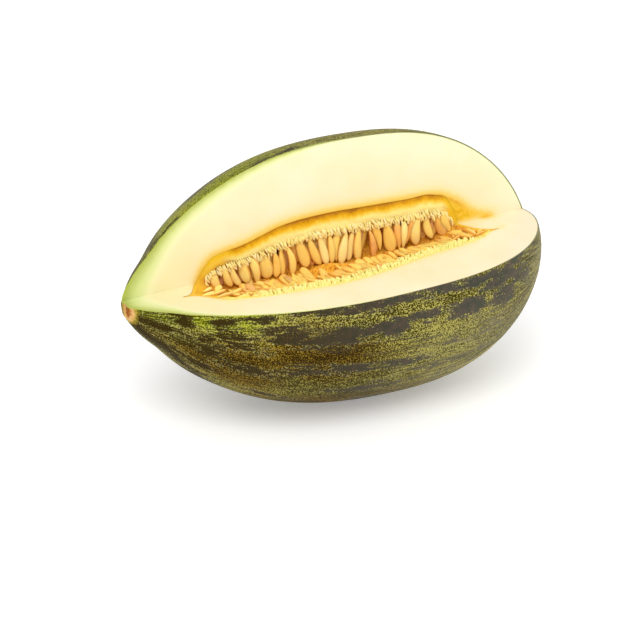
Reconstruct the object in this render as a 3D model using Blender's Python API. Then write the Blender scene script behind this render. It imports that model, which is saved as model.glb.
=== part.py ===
# Piel de sapo melon, lying on its side, with a lengthwise wedge cut out of it.
# The fruit lies along X with its stem end at -X. The missing wedge opens towards -Y and up.
# The origin is on the surface the fruit rests on, under the middle of its length.

import math
import random

import bmesh
import bpy
from mathutils import Matrix, Vector

# Driving dimensions of the fruit, in metres unless a comment says otherwise
FRUIT_LENGTH = 0.225            # stem tip to blossom tip, before the scar blunts the stem tip
FRUIT_RADIUS = 0.0652
WIDEST_AT = 0.568               # share of the length, counted from the stem tip
STEM_CURVE = (2.49, 0.823)      # the two powers that shape the long stem end
BLOSSOM_CURVE = (2.45, 0.643)   # and the blunter blossom end
NECK_AT = 0.072                 # share of the length where the stem end draws in a little
NECK_SPREAD = 0.030
NECK_DEPTH = 0.0012
SCAR_RADIUS = 0.0043
SCAR_DEPTH = 0.0009
FLAT_SPOT_DEPTH = 0.0015        # gives a resting face about 28 mm wide and 50 mm long
FRUIT_RINGS = 32
FRUIT_SIDES = 48

# The two cut faces meet in a line that runs nearly along the axis (Y and Z from the axis)
CUT_AT_STEM = (0.0054, 0.0014)
CUT_AT_BLOSSOM = (0.0040, 0.0125)
UPPER_FACE_ANGLE = 90.0         # degrees from +Y, so the upper face stands upright
LOWER_FACE_RISE = 2.8           # degrees that the lower face rises towards the front
CUTTER_REACH = 0.085            # past the rind
CUTTER_HALF_LENGTH = 0.125

# The seed hollow, a spindle whose middle drifts up and back towards the blossom end
HOLLOW_STEM_X = -0.0762
HOLLOW_BLOSSOM_X = 0.0898
HOLLOW_HALF_WIDTH = 0.0338
HOLLOW_HALF_HEIGHT = 0.0305
HOLLOW_CURVE = (2.16, 0.353)
HOLLOW_MIDDLE = (-0.0016, -0.0019)
HOLLOW_DRIFT = (0.058, 0.036)   # metres of Y and Z for each metre along X
HOLLOW_RINGS = 18
HOLLOW_SIDES = 26

# The pulp that fills the hollow: its rim is level with the flesh, and its seed beds are sunk
PULP_GAP = 0.0004
RIM_WIDTH = 0.0058
RIM_DROP = 0.0003
BED_DEPTH = 0.0032              # of the upper bed behind the upper cut face
BED_VALLEY = 0.0056             # how far the beds meet under the line where the cuts meet
LOWER_BED_RISE = 11.0           # degrees

# One seed, at its true size
SEED_LENGTH = 0.0142
SEED_WIDTH = 0.0060
SEED_THICKNESS = 0.0029
SEED_SIDES = 6
SEED_OUTLINE = ((0.12, 0.46), (0.44, 1.0), (0.82, 0.72))    # share of length, share of width
SMALLEST_SEED = 0.45            # share of full size, where the hollow narrows

# Rows of seeds that hang on the upper bed. The second shows under the tips of the first.
# Count, metres below the rim, lift of the seed's middle line above the bed
UPPER_ROWS = (
    (31, 0.0, 0.0009),
    (26, 0.0075, 0.0),
)
UPPER_ROW_X = (-0.0644, 0.0700)
UPPER_LEAN = 13.0               # degrees, either way
UPPER_TILT = (-0.08, 0.02)      # slope of a seed away from the bed
UPPER_SIZES = (0.95, 1.12)      # share of full size
UPPER_TWIST = (12.0, 55.0)      # degrees about the seed's own length

# Rows of seeds that lie on the lower bed and point to the back
# Count, first and last X, metres back from the rim
LOWER_ROWS = (
    (28, -0.062, 0.075, 0.0),
    (16, -0.052, 0.050, 0.0110),
)
LOWER_LIFT = 0.0005
LOWER_SWING = 24.0              # degrees, either way
LOWER_TILT = (-0.03, 0.09)      # rise along a seed, less the slope of the bed
LOWER_SIZES = (0.90, 1.08)
LOWER_TWIST = (5.0, 50.0)
SEED_SCATTER = 0.0010           # of a seed's place along its row and its distance from the rim
RANDOM_START = 11

SHARP_EDGE = 35.0               # degrees, the least angle that keeps an edge crisp

# Linear colour and roughness
RIND_FINISH = ((0.106, 0.109, 0.030, 1.0), 0.50)
FLESH_FINISH = ((0.960, 0.885, 0.600, 1.0), 0.38)
PULP_FINISH = ((0.800, 0.440, 0.090, 1.0), 0.30)


def clear_scene():
    for item in list(bpy.data.objects):
        bpy.data.objects.remove(item, do_unlink=True)


def make_material(name, colour, roughness):
    material = bpy.data.materials.new(name)
    material.use_nodes = True
    shader = material.node_tree.nodes["Principled BSDF"]
    shader.inputs["Base Color"].default_value = colour
    shader.inputs["Roughness"].default_value = roughness
    shader.inputs["Metallic"].default_value = 0.0
    return material


def link_mesh(name, mesh, materials):
    item = bpy.data.objects.new(name, mesh)
    for material in materials:
        mesh.materials.append(material)
    bpy.context.scene.collection.objects.link(item)
    return item


def make_cutter(name, mesh, material):
    cutter = link_mesh(name, mesh, [material])
    cutter.hide_render = True
    cutter.display_type = "WIRE"
    return cutter


def add_boolean(item, operation, cutter):
    modifier = item.modifiers.new(operation.title(), "BOOLEAN")
    modifier.operation = operation
    modifier.solver = "EXACT"
    modifier.object = cutter
    modifier.material_mode = "TRANSFER"


def apply_modifiers(item):
    graph = bpy.context.evaluated_depsgraph_get()
    finished = bpy.data.meshes.new_from_object(item.evaluated_get(graph))
    item.modifiers.clear()
    item.data = finished
    finished.shade_smooth()
    finished.set_sharp_from_angle(angle=math.radians(SHARP_EDGE))


def remove_all(items):
    for item in list(items):
        bpy.data.objects.remove(item, do_unlink=True)


def mesh_from_bmesh(name, shape):
    bmesh.ops.recalc_face_normals(shape, faces=shape.faces)
    mesh = bpy.data.meshes.new(name)
    shape.to_mesh(mesh)
    shape.free()
    return mesh


def mesh_from_rings(name, rings, first_tip, last_tip):
    """A closed mesh that passes through rings of points and ends in a tip at each side."""
    shape = bmesh.new()
    loops = [[shape.verts.new(point) for point in ring] for ring in rings]
    first = shape.verts.new(first_tip)
    last = shape.verts.new(last_tip)
    sides = len(loops[0])
    for k in range(sides):
        following = (k + 1) % sides
        shape.faces.new((first, loops[0][following], loops[0][k]))
        shape.faces.new((last, loops[-1][k], loops[-1][following]))
        for one, two in zip(loops, loops[1:]):
            shape.faces.new((one[k], one[following], two[following], two[k]))
    return mesh_from_bmesh(name, shape)


def shares_crowding_to_ends(count):
    """Shares between 0 and 1 that lie closer together towards both ends."""
    return [0.5 - 0.5 * math.cos(math.pi * (k + 0.5) / count) for k in range(count)]


def power_curve(distance, powers):
    """1 in the middle and 0 at the tip, for a distance that runs from 0 to 1."""
    return max(1.0 - distance ** powers[0], 0.0) ** powers[1]


def oval(x, y, z, half_width, half_height, sides):
    turn = 2.0 * math.pi / sides
    return [
        Vector((x, y + half_width * math.cos(k * turn), z + half_height * math.sin(k * turn)))
        for k in range(sides)
    ]


# Outline of the whole fruit

def share_where_scar_starts():
    remaining = 1.0 - (SCAR_RADIUS / FRUIT_RADIUS) ** (1.0 / STEM_CURVE[1])
    return WIDEST_AT * (1.0 - remaining ** (1.0 / STEM_CURVE[0]))


SCAR_SHARE = share_where_scar_starts()
AXIS_START_X = -0.5 * FRUIT_LENGTH * (1.0 + SCAR_SHARE)     # where the unblunted tip would be
AXIS_Z = FRUIT_RADIUS - FLAT_SPOT_DEPTH


def fruit_radius(share):
    if share < WIDEST_AT:
        radius = FRUIT_RADIUS * power_curve((WIDEST_AT - share) / WIDEST_AT, STEM_CURVE)
    else:
        radius = FRUIT_RADIUS * power_curve((share - WIDEST_AT) / (1.0 - WIDEST_AT), BLOSSOM_CURVE)
    neck = NECK_DEPTH * math.exp(-((share - NECK_AT) / NECK_SPREAD) ** 2)
    return radius - neck * min(1.0, share / NECK_AT)


def build_fruit_mesh():
    scar_x = AXIS_START_X + FRUIT_LENGTH * SCAR_SHARE
    rings = [oval(scar_x, 0.0, AXIS_Z, SCAR_RADIUS, SCAR_RADIUS, FRUIT_SIDES)]
    for part in shares_crowding_to_ends(FRUIT_RINGS):
        share = SCAR_SHARE + (1.0 - SCAR_SHARE) * part
        radius = fruit_radius(share)
        x = AXIS_START_X + FRUIT_LENGTH * share
        rings.append(oval(x, 0.0, AXIS_Z, radius, radius, FRUIT_SIDES))
    stem_tip = Vector((scar_x + SCAR_DEPTH, 0.0, AXIS_Z))
    blossom_tip = Vector((AXIS_START_X + FRUIT_LENGTH, 0.0, AXIS_Z))
    return mesh_from_rings("melon_body", rings, stem_tip, blossom_tip)


# Cuts

def cut_line(x):
    """Y and Z of the line where the two cut faces meet."""
    share = x / FRUIT_LENGTH + 0.5
    y = CUT_AT_STEM[0] + (CUT_AT_BLOSSOM[0] - CUT_AT_STEM[0]) * share
    z = CUT_AT_STEM[1] + (CUT_AT_BLOSSOM[1] - CUT_AT_STEM[1]) * share
    return y, AXIS_Z + z


def build_wedge_mesh(back, down, lower_rise):
    """The missing wedge, with its inner line moved back and down from the cut line."""
    upper = math.radians(UPPER_FACE_ANGLE)
    lower = math.radians(lower_rise)
    up = Vector((0.0, math.cos(upper), math.sin(upper))) * CUTTER_REACH
    out = Vector((0.0, -math.cos(lower), math.sin(lower))) * CUTTER_REACH
    shape = bmesh.new()
    ends = []
    for x in (-CUTTER_HALF_LENGTH, CUTTER_HALF_LENGTH):
        y, z = cut_line(x)
        inner = Vector((x, y + back, z - down))
        corners = (inner, inner + up, inner + up + out, inner + out)
        ends.append([shape.verts.new(corner) for corner in corners])
    near, far = ends
    shape.faces.new(near)
    shape.faces.new(far)
    for k in range(4):
        following = (k + 1) % 4
        shape.faces.new((near[following], near[k], far[k], far[following]))
    return mesh_from_bmesh("wedge", shape)


def build_ground_mesh():
    """A block whose top is the surface that the fruit rests on."""
    thickness = 4.0 * FLAT_SPOT_DEPTH
    shape = bmesh.new()
    bmesh.ops.create_cube(shape, size=1.0)
    bmesh.ops.scale(shape, vec=(FRUIT_LENGTH, FRUIT_RADIUS, thickness), verts=shape.verts)
    bmesh.ops.translate(shape, vec=(0.0, 0.0, -0.5 * thickness), verts=shape.verts)
    return mesh_from_bmesh("ground", shape)


# Seed hollow

def hollow_section(x, inset):
    """Middle and half sizes of the seed hollow at x, drawn in by inset all round."""
    start = HOLLOW_STEM_X + inset
    end = HOLLOW_BLOSSOM_X - inset
    distance = abs(2.0 * (x - start) / (end - start) - 1.0)
    scale = power_curve(min(distance, 1.0), HOLLOW_CURVE)
    middle_y = HOLLOW_MIDDLE[0] + HOLLOW_DRIFT[0] * x
    middle_z = HOLLOW_MIDDLE[1] + HOLLOW_DRIFT[1] * x + AXIS_Z
    half_width = (HOLLOW_HALF_WIDTH - inset) * scale
    half_height = (HOLLOW_HALF_HEIGHT - inset) * scale
    return middle_y, middle_z, half_width, half_height


def build_hollow_mesh(name, inset):
    start = HOLLOW_STEM_X + inset
    end = HOLLOW_BLOSSOM_X - inset
    rings = []
    for share in shares_crowding_to_ends(HOLLOW_RINGS):
        x = start + (end - start) * share
        rings.append(oval(x, *hollow_section(x, inset), HOLLOW_SIDES))
    tips = [Vector((x, *hollow_section(x, inset)[:2])) for x in (start, end)]
    return mesh_from_rings(name, rings, *tips)


def upper_rim_z(x):
    """Height where the rim's inner edge crosses the upper cut face."""
    y, z, half_width, half_height = hollow_section(x, RIM_WIDTH)
    across = (cut_line(x)[0] - y) / half_width
    return z + half_height * math.sqrt(max(1.0 - across ** 2, 0.0))


def lower_rim_y(x):
    """Y where the rim's inner edge crosses the lower cut face."""
    y, z, half_width, half_height = hollow_section(x, RIM_WIDTH)
    across = (cut_line(x)[1] - z) / half_height
    return y - half_width * math.sqrt(max(1.0 - across ** 2, 0.0))


def lower_bed_z(x, y):
    line_y, line_z = cut_line(x)
    front = line_y + BED_DEPTH - y
    return line_z - BED_VALLEY + front * math.tan(math.radians(LOWER_BED_RISE))


# Seeds

def build_seed_mesh():
    """A flat teardrop along +Z from its pointed end at the origin, its broad side facing Y."""
    rings = []
    for along, across in SEED_OUTLINE:
        half_width = 0.5 * SEED_WIDTH * across
        half_thickness = 0.5 * SEED_THICKNESS * math.sqrt(across)
        ring = []
        for k in range(SEED_SIDES):
            angle = 2.0 * math.pi * k / SEED_SIDES
            point = (half_width * math.cos(angle), half_thickness * math.sin(angle), along * SEED_LENGTH)
            ring.append(Vector(point))
        rings.append(ring)
    return mesh_from_rings("seed", rings, Vector((0.0, 0.0, 0.0)), Vector((0.0, 0.0, SEED_LENGTH)))


def place_seed(mesh, group, point, direction, outwards, twist, size):
    """Puts a seed with its pointed end at point, turned by twist about its own length."""
    along = direction.normalized()
    side = along.cross(outwards).normalized()
    frame = Matrix((side, side.cross(along), along)).transposed().to_4x4()
    turn = Matrix.Rotation(twist, 4, "Z")
    scale = Matrix.Scale(size, 4)
    seed = bpy.data.objects.new(f"seed_{len(group.objects):03d}", mesh)
    seed.matrix_world = Matrix.Translation(point) @ frame @ turn @ scale
    group.objects.link(seed)


def draw_twist(draw, limits):
    return math.radians(draw.uniform(*limits) * draw.choice((-1.0, 1.0)))


def scattered_along(draw, first, last, count):
    for k in range(count):
        yield first + (last - first) * k / (count - 1) + draw.uniform(-SEED_SCATTER, SEED_SCATTER)


def place_upper_row(mesh, group, draw, count, below_rim, lift):
    """A row that hangs down the upper bed."""
    for x in scattered_along(draw, *UPPER_ROW_X, count):
        y, z = cut_line(x)
        top = upper_rim_z(x) - below_rim - draw.uniform(0.0, SEED_SCATTER)
        room = top - (z - BED_VALLEY)
        size = min(draw.uniform(*UPPER_SIZES), room / SEED_LENGTH)
        lean = math.radians(draw.uniform(-UPPER_LEAN, UPPER_LEAN))
        direction = Vector((math.sin(lean), draw.uniform(*UPPER_TILT), -math.cos(lean)))
        twist = draw_twist(draw, UPPER_TWIST)
        if size > SMALLEST_SEED:
            point = Vector((x, y + BED_DEPTH - lift, top))
            place_seed(mesh, group, point, direction, Vector((0.0, -1.0, 0.0)), twist, size)


def place_lower_row(mesh, group, draw, count, first, last, from_rim):
    """A row that lies on the lower bed and points to the back."""
    slope = math.tan(math.radians(LOWER_BED_RISE))
    outwards = Vector((0.0, slope, 1.0))
    for x in scattered_along(draw, first, last, count):
        y = lower_rim_y(x) + from_rim + draw.uniform(0.0, SEED_SCATTER)
        room = cut_line(x)[0] + BED_DEPTH - y
        size = min(draw.uniform(*LOWER_SIZES), room / SEED_LENGTH)
        swing = math.radians(draw.uniform(-LOWER_SWING, LOWER_SWING))
        direction = Vector((math.sin(swing), math.cos(swing), draw.uniform(*LOWER_TILT) - slope))
        twist = draw_twist(draw, LOWER_TWIST)
        if size > SMALLEST_SEED:
            point = Vector((x, y, lower_bed_z(x, y) + LOWER_LIFT))
            place_seed(mesh, group, point, direction, outwards, twist, size)


def fuse_group(item, group):
    modifier = item.modifiers.new("Seeds", "BOOLEAN")
    modifier.operation = "UNION"
    modifier.solver = "EXACT"
    modifier.operand_type = "COLLECTION"
    modifier.collection = group
    apply_modifiers(item)
    remove_all(group.objects)
    bpy.data.collections.remove(group)


# Pieces

def build_body():
    """Rind and flesh, which grew as one, with the wedge and the seed hollow taken out."""
    rind = make_material("melon_rind", *RIND_FINISH)
    flesh = make_material("melon_flesh", *FLESH_FINISH)
    body = link_mesh("melon_body", build_fruit_mesh(), [rind, flesh])
    cutters = (
        make_cutter("ground_cutter", build_ground_mesh(), rind),
        make_cutter("wedge_cutter", build_wedge_mesh(0.0, 0.0, LOWER_FACE_RISE), flesh),
        make_cutter("hollow_cutter", build_hollow_mesh("hollow", 0.0), flesh),
    )
    for cutter in cutters:
        add_boolean(body, "DIFFERENCE", cutter)
    apply_modifiers(body)
    remove_all(cutters)


def build_pulp(material):
    """The pulp without its seeds, with a bed sunk behind each cut face."""
    pulp = link_mesh("seed_mass", build_hollow_mesh("seed_mass", PULP_GAP), [material])
    rim = make_cutter("rim_cutter", build_wedge_mesh(RIM_DROP, RIM_DROP, LOWER_FACE_RISE), material)
    bed = make_cutter("bed_cutter", build_hollow_mesh("bed", RIM_WIDTH), material)
    slope = make_cutter("bed_wedge", build_wedge_mesh(BED_DEPTH, BED_VALLEY, LOWER_BED_RISE), material)
    add_boolean(bed, "INTERSECT", slope)
    add_boolean(pulp, "DIFFERENCE", rim)
    add_boolean(pulp, "DIFFERENCE", bed)
    apply_modifiers(pulp)
    remove_all((rim, bed, slope))
    return pulp


def build_seed_mass():
    """The pulp with the seeds that grow from it."""
    pulp = build_pulp(make_material("seed_pulp", *PULP_FINISH))
    seeds = bpy.data.collections.new("seeds")
    bpy.context.scene.collection.children.link(seeds)
    seed_mesh = build_seed_mesh()
    draw = random.Random(RANDOM_START)
    for row in UPPER_ROWS:
        place_upper_row(seed_mesh, seeds, draw, *row)
    for row in LOWER_ROWS:
        place_lower_row(seed_mesh, seeds, draw, *row)
    fuse_group(pulp, seeds)


clear_scene()
build_body()
build_seed_mass()
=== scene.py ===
import math
import random
from functools import partial

import bmesh
import bpy
import numpy as np
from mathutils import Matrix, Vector, noise


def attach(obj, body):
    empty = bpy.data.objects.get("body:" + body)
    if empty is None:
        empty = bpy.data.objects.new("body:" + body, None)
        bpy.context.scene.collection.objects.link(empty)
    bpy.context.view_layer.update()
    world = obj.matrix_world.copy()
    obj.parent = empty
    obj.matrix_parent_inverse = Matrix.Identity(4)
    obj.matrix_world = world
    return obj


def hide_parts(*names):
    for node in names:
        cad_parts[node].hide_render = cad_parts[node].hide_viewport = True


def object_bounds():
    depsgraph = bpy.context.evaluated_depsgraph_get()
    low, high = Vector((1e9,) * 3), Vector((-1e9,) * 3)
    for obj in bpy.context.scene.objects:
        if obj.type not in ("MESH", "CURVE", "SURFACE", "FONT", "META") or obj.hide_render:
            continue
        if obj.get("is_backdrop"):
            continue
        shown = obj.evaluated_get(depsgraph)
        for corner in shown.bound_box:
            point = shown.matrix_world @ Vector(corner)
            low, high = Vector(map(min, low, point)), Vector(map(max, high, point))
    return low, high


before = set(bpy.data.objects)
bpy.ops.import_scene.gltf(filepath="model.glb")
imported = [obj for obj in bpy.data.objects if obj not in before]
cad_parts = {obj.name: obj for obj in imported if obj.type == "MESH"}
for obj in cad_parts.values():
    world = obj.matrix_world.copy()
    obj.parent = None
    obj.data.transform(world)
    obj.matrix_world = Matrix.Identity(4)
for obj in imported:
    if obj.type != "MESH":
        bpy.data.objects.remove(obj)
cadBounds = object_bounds()
print("melon: the packed part is loaded")

mm = 0.001

# the whole fruit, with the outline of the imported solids
fruit = {
    "length": 225 * mm,
    "radius": 65.2 * mm,
    "widestAt": 0.568,               # share of the length, from the stem tip
    "stemCurve": (2.49, 0.823),      # two powers that shape each end
    "blossomCurve": (2.45, 0.643),
    "neckAt": 0.072,
    "neckSpread": 0.030,
    "neckDepth": 1.2 * mm,
    "tipRadius": 4.3 * mm,           # the stem tip is blunt
    "tipDish": 0.9 * mm,
    "scarAt": (-112.0 * mm, -3.2 * mm),   # X and Y of the middle of the stem scar
    "flatSpot": 1.5 * mm,
    "skinInset": 0.25 * mm,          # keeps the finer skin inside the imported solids' box
    "tipInset": 1.5,                 # times as much at the blossom tip
    "wrinkles": ((3.2 * mm, 1.0, 9.0, 1.0), (9 * mm, 2.0, 4.0, 0.6)),   # size, seed, stretch, amount
    "stemReach": 26 * mm,            # how far from the stem the skin is more wrinkled
    "ringSpacing": 1.6 * mm,
    "sides": 232,
    "mergeBelow": 0.05 * mm,         # points this close are joined after the cuts
    "sharpAngle": math.radians(38),
}

# the two cut faces meet in a line; Y and Z of it from the fruit's axis, at both ends
cut = {
    "atStem": (5.4 * mm, 1.4 * mm),
    "atBlossom": (4.0 * mm, 12.5 * mm),
    "lowerRise": math.radians(2.8),
    "upperReach": 68 * mm,
    "lowerReach": 80 * mm,
    "halfLength": 118 * mm,
    "above": 5 * mm,                  # how far the opening goes on over the upper face
    "grid": 1.4 * mm,
}

# outline of the seed hollow on the cut faces, as (X, height above or distance from the cut line)
# a negative height is on the lower face
hollow = {
    "upperRim": (
        (-0.0850, -0.0120), (-0.0800, -0.0105), (-0.0745, -0.0015), (-0.0695, 0.0060), (-0.0650, 0.0108),
        (-0.0590, 0.0127), (-0.0480, 0.0145), (-0.0270, 0.0200), (-0.0050, 0.0212), (0.0180, 0.0202),
        (0.0400, 0.0191), (0.0560, 0.0182), (0.0635, 0.0140), (0.0685, 0.0040), (0.0720, -0.0080),
        (0.0780, -0.0165), (0.0830, -0.0185),
    ),
    "lowerRim": (
        (-0.0850, 0.0125), (-0.0800, 0.0140), (-0.0700, 0.0240), (-0.0620, 0.0305), (-0.0530, 0.0340),
        (-0.0340, 0.0372), (-0.0140, 0.0398), (0.0000, 0.0393), (0.0130, 0.0368), (0.0330, 0.0320),
        (0.0590, 0.0278), (0.0710, 0.0252), (0.0780, 0.0200), (0.0830, 0.0190),
    ),
    "stain": (                        # where the flesh above the hollow turns from orange to cream
        (-0.0850, -0.0050), (-0.0745, -0.0015), (-0.0695, 0.0060), (-0.0650, 0.0108), (-0.0590, 0.0127),
        (-0.0480, 0.0145), (-0.0270, 0.0200), (-0.0050, 0.0212), (0.0180, 0.0202), (0.0400, 0.0191),
        (0.0560, 0.0180), (0.0600, 0.0170), (0.0640, 0.0150), (0.0680, 0.0126), (0.0720, 0.0096),
        (0.0755, 0.0064), (0.0790, 0.0040), (0.0840, 0.0018), (0.0880, 0.0002), (0.0920, -0.0012),
    ),
    "least": 1.2 * mm,                # width at which the hollow ends
    "paleBelow": 2.4 * mm,            # how much fainter the stain is on the lower face
    "paleStem": 7 * mm,               # at the stem end
    "paleFold": 3.5 * mm,             # and under the fold at the blossom end
    "depth": 1.15,                    # share of the opening's width
    "undercut": 0.24,
    "lidHeight": 1.5 * mm,
    "middleX": -0.9 * mm,
    "halfLength": 83.4 * mm,
    "stations": 96,
    "sides": 28,
}


def softLine(points, x):   # a smooth curve through a few points, level past its ends
    xs, ys = (np.array(values) for values in zip(*points))
    slopes = np.gradient(ys, xs)
    x = np.clip(x, xs[0], xs[-1])
    k = np.clip(np.searchsorted(xs, x) - 1, 0, len(xs) - 2)
    step = xs[k + 1] - xs[k]
    t = (x - xs[k]) / step
    start = ys[k] * (1 + 2 * t) * (1 - t) ** 2 + ys[k + 1] * t * t * (3 - 2 * t)
    return start + step * (slopes[k] * t * (1 - t) ** 2 - slopes[k + 1] * t * t * (1 - t))


def smoothStep(low, high, x):
    t = np.clip((x - low) / (high - low), 0.0, 1.0)
    return t * t * (3 - 2 * t)


def powerCurve(distance, powers):
    return np.maximum(1.0 - distance ** powers[0], 0.0) ** powers[1]


def fruitRadius(share):
    widest = fruit["widestAt"]
    stem = powerCurve(np.maximum(widest - share, 0.0) / widest, fruit["stemCurve"])
    blossom = powerCurve(np.maximum(share - widest, 0.0) / (1 - widest), fruit["blossomCurve"])
    neck = np.exp(-((share - fruit["neckAt"]) / fruit["neckSpread"]) ** 2)
    neck = neck * np.minimum(1.0, share / fruit["neckAt"])
    return fruit["radius"] * stem * blossom - fruit["neckDepth"] * neck


tipShare = fruit["widestAt"] * (
    1 - (1 - (fruit["tipRadius"] / fruit["radius"]) ** (1 / fruit["stemCurve"][1]))
    ** (1 / fruit["stemCurve"][0])
)
axisStart = -0.5 * fruit["length"] * (1 + tipShare)
axisZ = fruit["radius"] - fruit["flatSpot"]


def fruitProfile():   # X and radius along the skin at even steps, from the stem tip to the blossom tip
    share = 0.5 - 0.5 * np.cos(np.linspace(0.0, math.pi, 1200))
    share = tipShare + (1 - tipShare) * share
    x = axisStart + fruit["length"] * share
    radius = fruitRadius(share)
    across = np.linspace(0.0, 1.0, 24)[:-1]
    dish = fruit["tipDish"] * (1 - across ** 2)
    x = np.concatenate((x[0] + dish, x))
    radius = np.concatenate((across * fruit["tipRadius"], radius))
    run = np.concatenate(([0.0], np.cumsum(np.hypot(np.diff(x), np.diff(radius)))))
    even = np.linspace(0.0, run[-1], int(run[-1] / fruit["ringSpacing"]))
    return np.interp(even, run, x), np.interp(even, run, radius), even


profileX, profileRadius, profileRun = fruitProfile()


def cutLine(x):
    share = x / fruit["length"] + 0.5
    (stemY, stemZ), (blossomY, blossomZ) = cut["atStem"], cut["atBlossom"]
    return stemY + (blossomY - stemY) * share, axisZ + stemZ + (blossomZ - stemZ) * share


def onCut(x, place):   # Y and Z on the upper face at a height, or on the lower face at minus a distance
    y, z = cutLine(x)
    up, out = np.maximum(place, 0.0), np.maximum(-np.asarray(place), 0.0)
    return y - out * math.cos(cut["lowerRise"]), z + up + out * math.sin(cut["lowerRise"])


def rims(x):
    upper = softLine(hollow["upperRim"], x)
    return upper, np.maximum(softLine(hollow["lowerRim"], x), -upper + hollow["least"])


# small tools for meshes and materials

def hexColour(text):   # sRGB hex to linear
    values = [int(text[k:k + 2], 16) / 255 for k in (1, 3, 5)]
    return [v / 12.92 if v <= 0.04045 else ((v + 0.055) / 1.055) ** 2.4 for v in values] + [1.0]


mixed = {"data_type": "RGBA"}
times, timesPlus = {"operation": "MULTIPLY"}, {"operation": "MULTIPLY_ADD"}


def addNode(tree, kind, *values, stops=(), output=0, **settings):   # gives one of its outputs
    # the values go to the sockets in use, in their order; a socket's own name starts with a capital
    made = tree.nodes.new("ShaderNode" + kind)
    for name, value in settings.items():
        if not name[0].isupper():
            setattr(made, name, value)
    pairs = list(zip([socket for socket in made.inputs if socket.enabled], values))
    pairs += [(made.inputs[name], value) for name, value in settings.items() if name[0].isupper()]
    for socket, value in pairs:
        if isinstance(value, bpy.types.NodeSocket):
            tree.links.new(value, socket)
        else:
            socket.default_value = hexColour(value) if isinstance(value, str) else value
    for k, (place, shade) in enumerate(stops):
        ramp = made.color_ramp.elements
        stop = ramp[k] if k < 2 else ramp.new(place)
        stop.position = place
        stop.color = hexColour(shade) if isinstance(shade, str) else (shade, shade, shade, 1.0)
    if isinstance(output, str):
        return made.outputs[output]
    return [socket for socket in made.outputs if socket.enabled][output]


def startMaterial(name, settings):   # with the function that adds nodes to it
    material = bpy.data.materials.new(name)
    material.use_nodes = True
    shader = material.node_tree.nodes["Principled BSDF"]
    for socket, value in settings.items():
        shader.inputs[socket].default_value = value
    return material, partial(addNode, material.node_tree)


def finishMaterial(material, colour, bump=None):
    tree = material.node_tree
    shader = tree.nodes["Principled BSDF"]
    tree.links.new(colour, shader.inputs["Base Color"])
    if bump:
        tree.links.new(bump, shader.inputs["Normal"])
    return material


def makePiece(name, points, faces, material, attributes=None):
    mesh = bpy.data.meshes.new(name)
    mesh.from_pydata([tuple(p) for p in points], [], [tuple(f) for f in faces])
    item = bpy.data.objects.new(name, mesh)
    bpy.context.scene.collection.objects.link(item)
    mesh.materials.append(material)
    for label, values in (attributes or {}).items():
        storeAttribute(mesh, label, values)
    mesh.shade_smooth()
    return item


def storeAttribute(mesh, label, values):
    values = np.asarray(values, dtype=np.float32)
    kind, field = ("FLOAT_VECTOR", "vector") if values.ndim == 2 else ("FLOAT", "value")
    mesh.attributes.new(label, kind, "POINT").data.foreach_set(field, values.ravel())


def meshPoints(mesh):
    flat = np.empty(len(mesh.vertices) * 3)
    mesh.vertices.foreach_get("co", flat)
    return flat.reshape(-1, 3)


def ringFaces(rings, sides, offset=0):   # quads between closed rings, and fans to a tip at each end
    k = np.arange(sides)
    following = (k + 1) % sides
    faces = []
    for r in range(rings - 1):
        low, high = offset + r * sides, offset + (r + 1) * sides
        faces += np.stack((low + k, low + following, high + following, high + k), axis=1).tolist()
    first, last = offset + rings * sides, offset + rings * sides + 1
    top = offset + (rings - 1) * sides
    faces += np.stack((np.full(sides, first), offset + following, offset + k), axis=1).tolist()
    faces += np.stack((np.full(sides, last), top + k, top + following), axis=1).tolist()
    return faces


def fixNormals(mesh, mergeBelow=None):
    shape = bmesh.new()
    shape.from_mesh(mesh)
    if mergeBelow:
        bmesh.ops.remove_doubles(shape, verts=shape.verts, dist=mergeBelow)
        bmesh.ops.dissolve_degenerate(shape, edges=shape.edges, dist=mergeBelow * 0.2)
    bmesh.ops.recalc_face_normals(shape, faces=shape.faces)
    shape.to_mesh(mesh)
    shape.free()


def makeTube(name, rings, material, tips=None):   # a closed skin through rings of points
    if tips is None:
        tips = [np.mean(rings[k], axis=0) for k in (0, -1)]
    points = np.concatenate([*rings, tips])
    item = makePiece(name, points, ringFaces(len(rings), len(rings[0])), material)
    fixNormals(item.data)
    return item


def subtract(item, cutter):
    modifier = item.modifiers.new("cut", "BOOLEAN")
    modifier.operation = "DIFFERENCE"
    modifier.solver = "EXACT"
    modifier.material_mode = "TRANSFER"
    modifier.object = cutter
    graph = bpy.context.evaluated_depsgraph_get()
    item.data = bpy.data.meshes.new_from_object(item.evaluated_get(graph))
    item.modifiers.clear()
    bpy.data.objects.remove(cutter, do_unlink=True)


def noiseAt(points, size, seed=0.0, stretch=(1.0, 1.0, 1.0)):   # smooth noise, -1 to 1, of a given size
    shift = Vector((seed * 7.31, seed * 3.17, seed * 5.93))
    scale = [1.0 / (size * s) for s in stretch]
    return np.array([
        noise.noise(Vector((p[0] * scale[0], p[1] * scale[1], p[2] * scale[2])) + shift) for p in points
    ])


# camera: at the photograph's angle, aimed a little below and left of the fruit's axis

camera = {
    "azimuth": math.radians(-26.108),
    "elevation": math.radians(24),
    "distance": 890.6 * mm,
    "lens": 102.4,
    "left": 7.8 * mm,
    "below": 25.1 * mm,
}


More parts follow.
